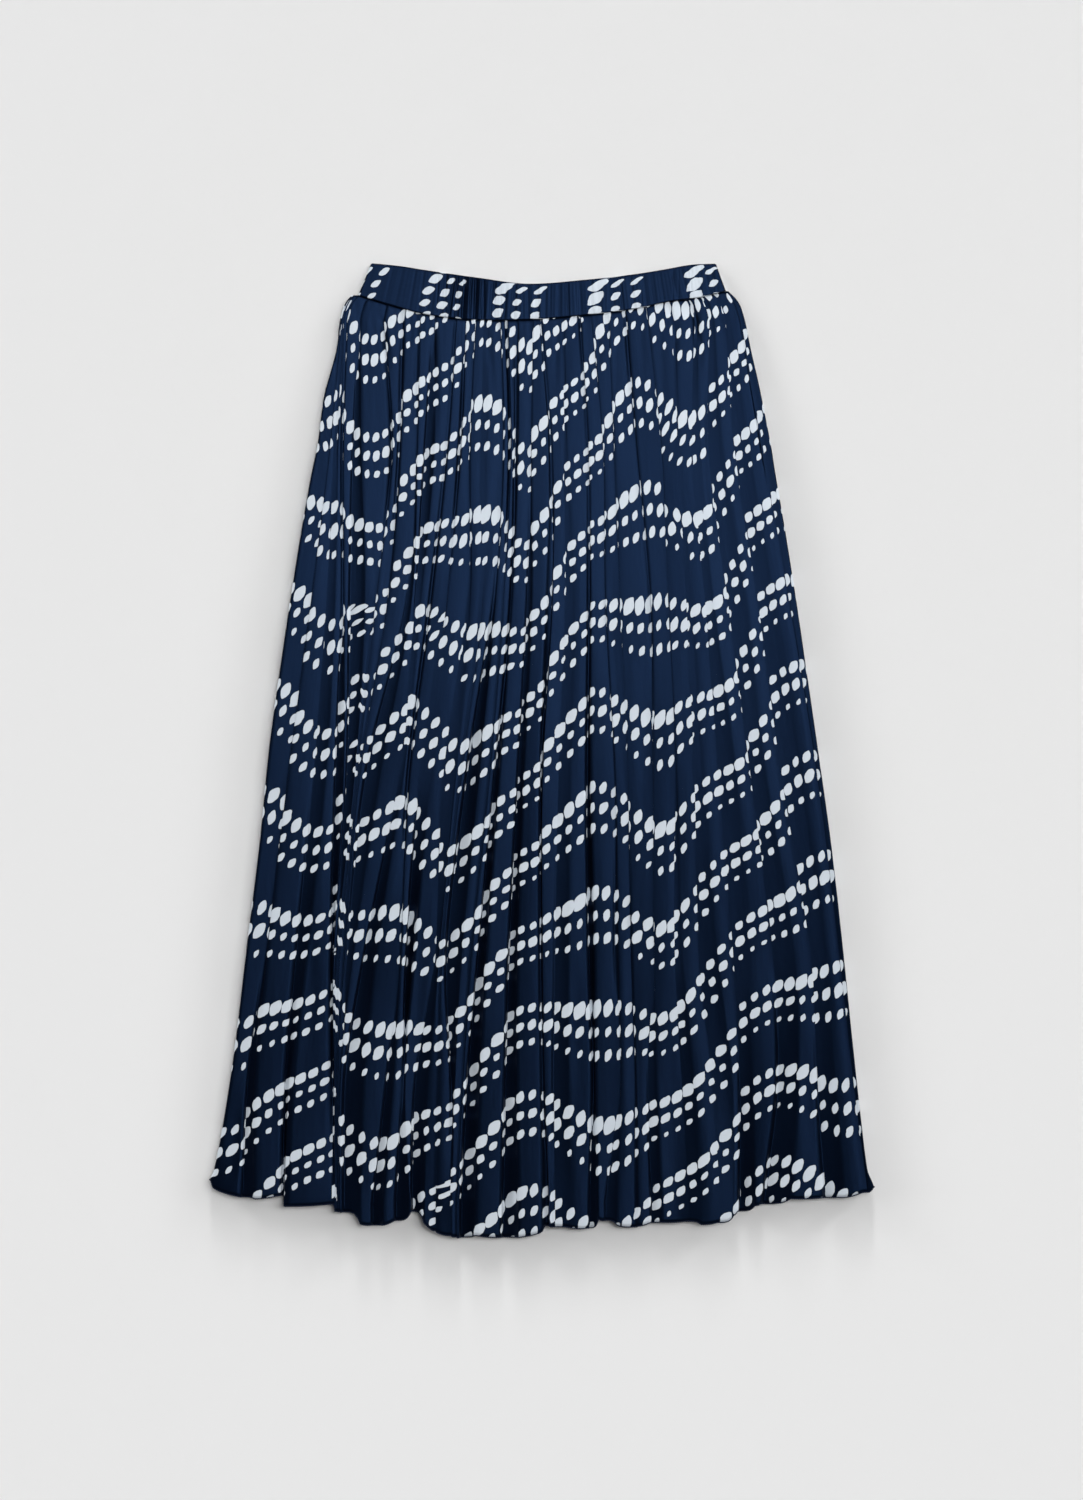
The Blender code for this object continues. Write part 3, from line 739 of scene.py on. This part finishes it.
def printed_satin(name, shift):
    """Navy satin with a printed repeat, a silky gloss and fine lengthwise floats."""
    finish = Finish(name)
    calc = finish.calc
    place = finish.node("ShaderNodeUVMap", {}, uv_map="Cloth").outputs["UV"]
    across, down, _ = finish.node("ShaderNodeSeparateXYZ", {0: place}).outputs
    wander = finish.clouded(across, down, INK_EDGE)
    edge = calc("MULTIPLY", calc("SUBTRACT", wander, 0.5), PRINT_WANDER)
    printed = grain_print(finish, calc("ADD", across, edge), calc("ADD", down, edge), shift)
    worn = finish.ramp(finish.clouded(across, down, WEAR), *WEAR_RANGE, 0.0, 1.0)
    ground = finish.blend(worn, NAVY, NAVY_WORN)
    creep = finish.clouded(across, down, CREEP)
    height = calc("MULTIPLY_ADD", finish.clouded(across, down, FLOATS), FLOAT_SHARE, creep)
    weave = {"Strength": WEAVE_STRENGTH, "Distance": WEAVE_DEPTH, "Height": height}
    finish.feed(finish.shader, {
        "Base Color": finish.blend(printed, ground, INK),
        "Roughness": finish.ramp(printed, 0.0, 1.0, SATIN_ROUGH, INK_ROUGH),
        "Specular IOR Level": finish.ramp(printed, 0.0, 1.0, GLOSS_LEVEL, INK_GLOSS),
        "Specular Tint": GLOSS_TINT,
        "Normal": finish.node("ShaderNodeBump", weave).outputs["Normal"],
    })
    return finish.material


front_pleats = Pleats(front_rise, 0.0, RIDGE_SWAY)
lines = panel_lines(front_pleats, UNDER_FRONT, FACE_STEPS, range(len(TROUGH) - 1))
x, up, depth = lay(lines, FRONT_ROWS, FRONT_TOP_GAP, 0.0)
lowest = BACK_THIN + back_rise(up) + CURL_FOOT
z = BACK_THIN + back_rise(up) + UNDER_FRONT + front_rise(up) - depth - softened(x, up)
z = np.maximum(z, lowest + SATIN)
front_upper = world(x, up, z)
front = cloth_shell("front_pleated_panel", printed_satin("printed_satin", 0.0), front_upper,
                    *cut_place(front_pleats, lines, x, up, z))
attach(front, "root")
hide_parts("front_panel")
front_hem = front_upper[-1]


# --- back panel
# The second length of the same satin, face down on the floor. Its pleats are pressed flat
# by their weight, so below they show as fine grooves. It ends a little above the front's hem.
BACK_INSET = 1.5
BACK_SHORTER = 3.0
BACK_TOP_GAP = 0.15
BACK_ROWS = table("count end", [(8, 0.04), (34, 0.97), (6, 1)])
BACK_BENDS = [0, 3, 6, 8]  # its flatter pleats need only these bends of a trough
BACK_FACE_STEPS = 3
LEAST_RISE = 0.1
GROOVE = 0.28  # how deep the pleats groove the underside
BACK_EDGE = 0.75  # the wall of the back along its sides and hem
EDGE_BREADTH = 2.2  # and how far in that wall thickens
EDGE_LIFT = 0.12  # and how far off the floor it is
GROOVE_START = 0.6  # the more, the deeper a fold must be to leave a groove
GROOVE_REACH = 3.0  # a groove is whole this far in from the edge
BACK_SHIFT = 0.061  # the print starts elsewhere on this length

back_pleats = Pleats(back_rise, BACK_INSET, 0.0)
lines = panel_lines(back_pleats, 0.0, BACK_FACE_STEPS, BACK_BENDS)
x, up, depth = lay(lines, BACK_ROWS, BACK_TOP_GAP, BACK_SHORTER)
left, right = back_pleats.sides(up)
from_edge = np.minimum(np.minimum(x - left, right - x), (up - up[-1]))
thin = np.exp(-np.maximum(from_edge, 0) / EDGE_BREADTH)
z = (BACK_THIN + back_rise(up) - depth) * (1 - thin) + BACK_EDGE * thin
share = depth / np.maximum(back_rise(up), LEAST_RISE)
inside = np.clip(from_edge / GROOVE_REACH, 0, 1)
groove = np.clip(share * (1 + GROOVE_START) - GROOVE_START, 0, 1)
below = GROOVE * groove * inside + EDGE_LIFT * thin
back_satin = printed_satin("printed_satin_back", BACK_SHIFT)
back = cloth_shell("back_pleated_panel", back_satin, world(x, up, z),
                   *cut_place(back_pleats, lines, x, up, z), world(x, up, below))
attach(back, "root")
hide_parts("back_panel")
back_hem = world(x, up, (z + below) / 2)[-1]


# --- side seams
# Plain seams that join the two panels from the waist to the hem. Laid flat, each is the
# folded edge of the skirt: a narrow round of cloth, drawn in a little by its stitching.
SEAM_ROUND = 0.55
SEAM_POINTS = 10
SEAM_LENGTHS = 320
PUCKER_PITCH = 9.0
PUCKER_DRIFT = 31.0  # the puckers drift closer and further apart over this length
PUCKER = 0.10
SEAM_IN = 1.1  # how far in from the side the round of the seam lies
SEAM_BELOW = 0.5  # and how far below the side edge of the front
SEAM_TOP = 2.0  # it ends this far below the waist seam
SEAM_FOOT = 1.0  # and this far above the corner of the hem
PLAIN_ROUGH = 0.55  # the satin where no print shows
WHITE = (1.0, 1.0, 1.0, 1.0)


def tube(name, material, path, radii, points):
    """A closed tube along a path."""
    along = np.gradient(path, axis=0)
    along /= np.linalg.norm(along, axis=-1, keepdims=True)
    upward = np.array([0.0, 0.0, 1.0]) - along * along[:, [2]]
    upward /= np.linalg.norm(upward, axis=-1, keepdims=True)
    aside = np.cross(along, upward)
    turns = np.arange(points) * math.tau / points
    rings = (path[:, None] + radii[:, :, None] * (aside[:, None] * np.cos(turns)[None, :, None]
             + upward[:, None] * np.sin(turns)[None, :, None]))
    index = np.arange(len(path) * points).reshape(len(path), points)
    after = np.roll(index, -1, axis=1)
    walls = np.stack([index[:-1], after[:-1], after[1:], index[1:]], axis=-1).reshape(-1, 4)
    faces = walls.tolist() + [index[0].tolist(), index[-1, ::-1].tolist()]
    return add_mesh(name, material, rings, faces)


def plain_finish(name, colour, rough, gloss, tint=WHITE):
    """A finish of one colour."""
    finish = Finish(name)
    finish.feed(finish.shader, {"Base Color": colour, "Roughness": rough,
                                "Specular IOR Level": gloss, "Specular Tint": tint})
    return finish.material


plain_satin = plain_finish("plain_satin", NAVY, PLAIN_ROUGH, GLOSS_LEVEL, GLOSS_TINT)
for side, top_x, corner in (("left", SIDES[-1].left, HEM_LEFT_CORNER),
                            ("right", SIDES[-1].right, HEM_RIGHT_CORNER)):
    ups = np.linspace(seam_up(top_x) - SEAM_TOP, SEAM_FOOT - corner, SEAM_LENGTHS)
    left, right = front_pleats.sides(ups)
    drawn = PUCKER * np.sin(ups / PUCKER_PITCH * math.tau + np.sin(ups / PUCKER_DRIFT))
    x_seam = left + SEAM_IN + drawn if side == "left" else right - SEAM_IN - drawn
    z_seam = BACK_THIN + back_rise(ups) + CURL_FOOT - SEAM_BELOW
    radii = np.repeat((SEAM_ROUND + drawn / 2)[:, None] * MM, SEAM_POINTS, axis=1)
    path = world(x_seam, ups, z_seam)
    seam = tube(f"side_seam_{side}", plain_satin, path, radii, SEAM_POINTS)
    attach(seam, "root")


# --- hems
# Each hem is a narrow rolled edge of the satin. An overlock machine binds it all along with
# slanting loops of navy thread, in the same way at the front and at the back.
THREAD_PITCH = 1.7
THREAD_STEPS = 4
HEM_POINTS = 7
HEM_ROUND = 0.52
THREAD_HEIGHT = 0.12
THREAD = (0.0035, 0.0075, 0.0220, 1.0)
THREAD_ROUGH = 0.7
THREAD_GLOSS = 0.25
HEM_EASINGS = 3  # rounds in which its path is eased where the hem steps


def resample(path, step):
    """Points at even steps along a path."""
    run = np.concatenate([[0], np.cumsum(np.linalg.norm(np.diff(path, axis=0), axis=1))])
    even = np.arange(0, run[-1], step)
    return np.stack([np.interp(even, run, path[:, k]) for k in range(3)], axis=-1)


def bound_hem(name, edge):
    """A rolled edge under loops of thread."""
    path = resample(edge, THREAD_PITCH * MM / THREAD_STEPS)
    for _ in range(HEM_EASINGS):
        path[1:-1] = (path[:-2] + 2 * path[1:-1] + path[2:]) / 4
    turns = np.arange(HEM_POINTS) / HEM_POINTS
    steps = np.arange(len(path)) / THREAD_STEPS
    loops = np.cos((steps[:, None] + turns[None, :]) * math.tau)
    radii = (HEM_ROUND + THREAD_HEIGHT * loops) * MM
    hem = tube(name, thread, path, radii, HEM_POINTS)
    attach(hem, "root")


thread = plain_finish("navy_thread", THREAD, THREAD_ROUGH, THREAD_GLOSS)
under_edge = np.array([0, 0, SATIN * MM / 2])
bound_hem("front_hem_binding", front_hem - under_edge)
back_hem[:, 2] = (HEM_ROUND + THREAD_HEIGHT) * MM  # it rests on the floor
bound_hem("back_hem_binding", back_hem)


# --- waist seam
# The panels are gathered into the band by a plain machine seam. The seam allowances of
# their satin are pressed flat inside it, between the front band and the back band.
ALLOWANCE = 8.0  # how far the cloth goes on past the seam
ALLOWANCE_TOP = 3.04  # and how high it lies
ALLOWANCE_WALL = 0.17
ALLOWANCE_STATIONS = 200
ALLOWANCE_ROWS = 4
ALLOWANCE_END = 0.012  # what it leaves free at each end, as a share of the waist
ALLOWANCE_IN_BAND = 0.7  # and how much of its length goes up into the band

along = np.linspace(ALLOWANCE_END, 1 - ALLOWANCE_END, ALLOWANCE_STATIONS)[None, :]
seam_x = BAND[0].seam_x + (BAND[-1].seam_x - BAND[0].seam_x) * along
height = np.linspace(ALLOWANCE * ALLOWANCE_IN_BAND, -ALLOWANCE, ALLOWANCE_ROWS)[:, None]
x, up = seam_x + 0 * height, seam_up(seam_x) + height
flat = np.stack([x, up], axis=-1) * MM
allowance = cloth_shell("waist_seam_allowance", plain_satin, world(x, up, ALLOWANCE_TOP),
                        flat[:, :-1], flat[:, 1:], world(x, up, ALLOWANCE_TOP - ALLOWANCE_WALL))
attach(allowance, "root")


# --- front waistband
# A straight strip of the same satin, folded over a soft elastic and drawn up unevenly: it
# lies plain at the left, in deep gathers left of the middle and in fine ripples to the right.
SEAM_GAP = 0.1
BAND_THICKNESS = 2.8
BAND_LIFT = 0.3  # the seam allowance lies between the two bands
BAND_CORNER = 2.6  # the upper corners are a little round
BAND_GATHERS = 34
# These waves are counted in gathers across the band, and don't change up it
GATHER_SWAYS = [Wave(0.16, 1 / 2.3, math.inf, 0), Wave(0.10, 1 / 5.1, math.inf, 1)]
GATHER_NARROW = 2.2  # the valleys between gathers are narrower than their crests
GATHER_LEANS = [Wave(0.10, 1 / 1.3, math.inf, 0)]  # shares of a gather's breadth
DRAWN = table("x height", [(-158, 0.10), (-118, 0.15), (-94, 0.30), (-82, 0.90), (-56, 1.00),
                           (-40, 0.80), (-10, 0.60), (60, 0.50), (120, 0.40), (158, 0.20)])
# Folds that the elastic draws in: where one dips, how far it leans up the band, the breadth
# over which it rises again to the right, and its depth
BAND_FOLDS = table("x lean breadth depth", [
    (-90, 1.5, 1.8, 0.4), (-83, 1.5, 2.2, 0.6), (-73.5, 2, 4.6, 1.7), (-67.8, 1.5, 4.8, 2.2),
    (-61.4, 1, 3, 1.1), (-57.4, 1, 4.6, 2.2), (-50.2, 0.5, 2.2, 1), (-40.6, 0.5, 1.8, 0.7),
    (-35.4, 0, 1.6, 0.6), (-22, 0.5, 1.4, 0.3), (7.5, 0, 1.4, 0.3), (31, -0.5, 1.4, 0.3),
    (57, 0.5, 1.6, 0.3), (86, -0.5, 1.4, 0.3), (113.1, 0.5, 1.4, 0.4), (117.9, 0, 1.2, 0.4),
    (128.8, 0.5, 1.6, 0.5), (137.2, 0, 1.4, 0.5), (147.5, -1, 2.2, 0.6),
])
FOLD_LIP = 0.16  # a fold dips over this share of its breadth
# Towards both edges the band is thinner and less gathered
BAND_EDGES = table("height thickness gather", [(0, 0.80, 0.90), (0.02, 0.95, 1), (0.5, 1, 1),
                                               (0.975, 0.94, 0.90), (1, 0.70, 0.60)])
BAND_LEAST = 0.7  # the band stays this thick in its deepest folds
BAND_END = 0.4  # its ends are this share of its thickness
BAND_ROLL = 1.8  # and rise over this length
END_ROWS = 0.11  # the rows of points crowd towards both edges
END_STATIONS = 0.25  # and their stations towards both ends
FRONT_STATIONS = 620
FRONT_HEIGHTS = 26
BAND_SLOPE = 1.6  # more cloth goes into a fold than shows
BAND_FULLNESS = 1.12
FINE_RIPPLES = 2.7  # fine ripples to one gather
FINE_RIPPLE = 0.16
FINE_DRIFT = [Wave(2, 1 / 0.7, math.inf, 0)]  # in radians: they drift to and fro
BAND_SHIFT = 0.183

band_top_up = curve(BAND, "seam_x", "top_up")
band_top_x = curve(BAND, "seam_x", "top_x")
band_gather = curve(DRAWN, "x", "height")
band_wall = curve(BAND_EDGES, "height", "thickness")
band_draw = curve(BAND_EDGES, "height", "gather")


def gather_wave(turn):
    """Height of a gather, 0 to 1, by the number of gathers passed."""
    uneven = turn + swing(GATHER_SWAYS, turn, 0)
    return 1 - ((1 - np.cos(math.tau * uneven)) / 2) ** GATHER_NARROW


def waistband(name, base, stations, heights, gathered, shorter):
    """One side of the band: a closed shell over a flat lower side, with gathers and folds."""
    length = BAND[-1].seam_x - BAND[0].seam_x
    even = np.linspace(0, 1, stations)
    crowded = (1 - np.cos(even * math.pi)) / 2
    along = (even + END_STATIONS * (crowded - even))[None, :]
    rows = np.linspace(1, 0, heights)[:, None]
    rows = rows - END_ROWS * np.sin(rows * math.tau)
    seam_x = BAND[0].seam_x + length * along
    low = seam_up(seam_x) + SEAM_GAP / 2
    from_end = np.minimum(along, 1 - along) * length
    corner = np.clip(1 - from_end / BAND_CORNER, 0, 1)
    high = band_top_up(seam_x) - shorter - BAND_CORNER * (1 - np.sqrt(1 - corner ** 2))
    x = seam_x + (band_top_x(seam_x) - seam_x) * rows
    up = low + (high - low) * rows
    end = np.sqrt(np.clip(from_end / BAND_ROLL, 0, 1))
    full = band_wall(rows) * (BAND_END + (1 - BAND_END) * end)
    turn = along * BAND_GATHERS
    lean = swing(GATHER_LEANS, turn, 0) * (rows - 0.5)
    drawn = band_gather(x) * gathered * band_draw(rows)
    fine = np.sin((turn + lean) * FINE_RIPPLES * math.tau + swing(FINE_DRIFT, turn, 0))
    wave = gather_wave(turn + lean) - 0.5 + FINE_RIPPLE * fine
    z = base + BAND_THICKNESS * full + drawn * full * wave
    for fold in BAND_FOLDS:
        beside = (x - fold.x - fold.lean * (rows - 0.5)) / fold.breadth
        dip = np.clip(np.minimum(1 - beside, 1 + beside / FOLD_LIP), 0, 1)
        z = z - gathered * fold.depth * full * band_draw(rows) * dip
    z = np.maximum(z, base + BAND_LEAST * full)
    run = np.hypot(np.diff(x, axis=1), np.diff(z, axis=1) * BAND_SLOPE)
    passed = np.concatenate([np.zeros((heights, 1)), np.cumsum(run, axis=1)], axis=1)
    cloth = np.stack([high - up, passed * BAND_FULLNESS], axis=-1) * MM
    return cloth_shell(name, band_satin, world(x, up, z), cloth[:, :-1], cloth[:, 1:],
                       world(x, up, base))


band_satin = printed_satin("band_satin", BAND_SHIFT)
front_band = waistband("front_waistband", BAND_THICKNESS + BAND_LIFT, FRONT_STATIONS,
                       FRONT_HEIGHTS, gathered=1.0, shorter=0.0)
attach(front_band, "root")
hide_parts("waistband_front")


# --- back waistband
# The same strip at the back, face down on the floor. The front band presses its gathers
# flat, and its upper edge lies a little lower.
BACK_STATIONS = 300
BACK_HEIGHTS = 12

back_band = waistband("back_waistband", 0.0, BACK_STATIONS, BACK_HEIGHTS,
                      gathered=0.0, shorter=BACK_INSET)
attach(back_band, "root")
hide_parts("waistband_back")


# --- stage
# The floor, the light and the camera belong to the picture and not to the skirt. The floor
# is pale matt paper. Soft light falls on it from the waist end and both sides, and most of
# it comes from the right. Sizes are in metres here, but the lens and sensor in millimetres.
FLOOR_SIZE = 9.0
FLOOR_PALE = (0.80, 0.80, 0.80, 1.0)
PAPER_ROUGH = 0.9

half = FLOOR_SIZE / 2
corners = np.array([(-half, -half, 0), (half, -half, 0), (half, half, 0), (-half, half, 0)])
paper = plain_finish("paper", FLOOR_PALE, PAPER_ROUGH, 0.0)
floor = add_mesh("floor", paper, corners, [(0, 1, 2, 3)])

# Each lamp lights the floor by its share. Azimuth 0 shines from the waist end, 90 from the
# right. Softness is how wide the lamp looks, in degrees.
Lamp = namedtuple("Lamp", "azimuth elevation share softness")
LAMPS = [Lamp(52, 74, 0.300, 20), Lamp(75, 52, 0.138, 25)]
WAIST_END = [(9, 0.040, 7), (13, 0.045, 9), (19, 0.045, 13), (30, 0.030, 20)]
SLANTING = [(8, 0.028, 7), (12, 0.030, 9), (18, 0.028, 13), (30, 0.020, 20)]
BESIDE = [(12, 0.025, 9), (20, 0.030, 14)]
for azimuth, rows in ((0, WAIST_END), (-50, SLANTING), (50, SLANTING), (-85, BESIDE), (85, BESIDE)):
    LAMPS += [Lamp(azimuth, *row) for row in rows]


def hang(name, kind, energy, **settings):
    """A lamp in the scene."""
    light = bpy.data.lights.new(name, kind)
    light.energy = energy
    for setting, value in settings.items():
        setattr(light, setting, value)
    return add(name, light)


def hang_far(name, lamp, energy):
    """A lamp so far off that its light comes from one side only."""
    item = hang(name, "SUN", energy, angle=math.radians(lamp.softness))
    item.rotation_euler = (math.radians(lamp.elevation - 90), 0, math.radians(-lamp.azimuth))
    return item


for number, lamp in enumerate(LAMPS):
    energy = lamp.share * math.pi / math.sin(math.radians(lamp.elevation))
    hang_far(f"lamp_{number}", lamp, energy).visible_glossy = False

# The sheen on the satin comes from two broad lamps, which light nothing else: one far off at
# the right, and one over the waist
SHEEN_FAR = Lamp(88, 68, 0.70, 11)
SHEEN_PLACE = (0.14, 0.36, 0.63)
SHEEN_BREADTH = 1.12
SHEEN_DEPTH = 0.66
SHEEN_POWER = 4.5
sheen_far = hang_far("sheen_far", SHEEN_FAR, SHEEN_FAR.share)
sheen_near = hang("sheen_near", "AREA", SHEEN_POWER, shape="RECTANGLE", size=SHEEN_BREADTH,
                  size_y=SHEEN_DEPTH)
sheen_near.location = SHEEN_PLACE
for sheen in (sheen_far, sheen_near):
    sheen.visible_diffuse = False
    sheen.visible_camera = False

# Another lamp beside it brightens the print towards the waist, on the skirt alone
FILL_PLACE = (0.20, 0.55, 0.80)
FILL_SIZE = 0.50
FILL_POWER = 2.8
fill_lamp = hang("fill_lamp", "AREA", FILL_POWER, size=FILL_SIZE)
fill_lamp.location = FILL_PLACE
fill_lamp.visible_glossy = False
fill_lamp.visible_camera = False
lit = bpy.data.collections.new("lit_by_fill")
for piece in (front, back, front_band, back_band):
    lit.objects.link(piece)
fill_lamp.light_linking.receiver_collection = lit

AMBIENT = 0.08
studio = bpy.data.worlds.new("studio")
studio.use_nodes = True
background = studio.node_tree.nodes["Background"]
background.inputs["Color"].default_value = WHITE
background.inputs["Strength"].default_value = AMBIENT
bpy.context.scene.world = studio
bpy.context.scene.view_settings.view_transform = "Standard"

PICTURE_HEIGHT = 1.2923  # what the picture takes in from top to bottom
PICTURE_LEVEL = 0.008  # at this height over the floor
LENS = 150.0
SENSOR = 36.0
camera = add("camera", bpy.data.cameras.new("camera"))
camera.data.lens = LENS
camera.data.sensor_width = SENSOR
camera.location = (0.0, 0.0, PICTURE_HEIGHT * LENS / SENSOR + PICTURE_LEVEL)
bpy.context.scene.camera = camera
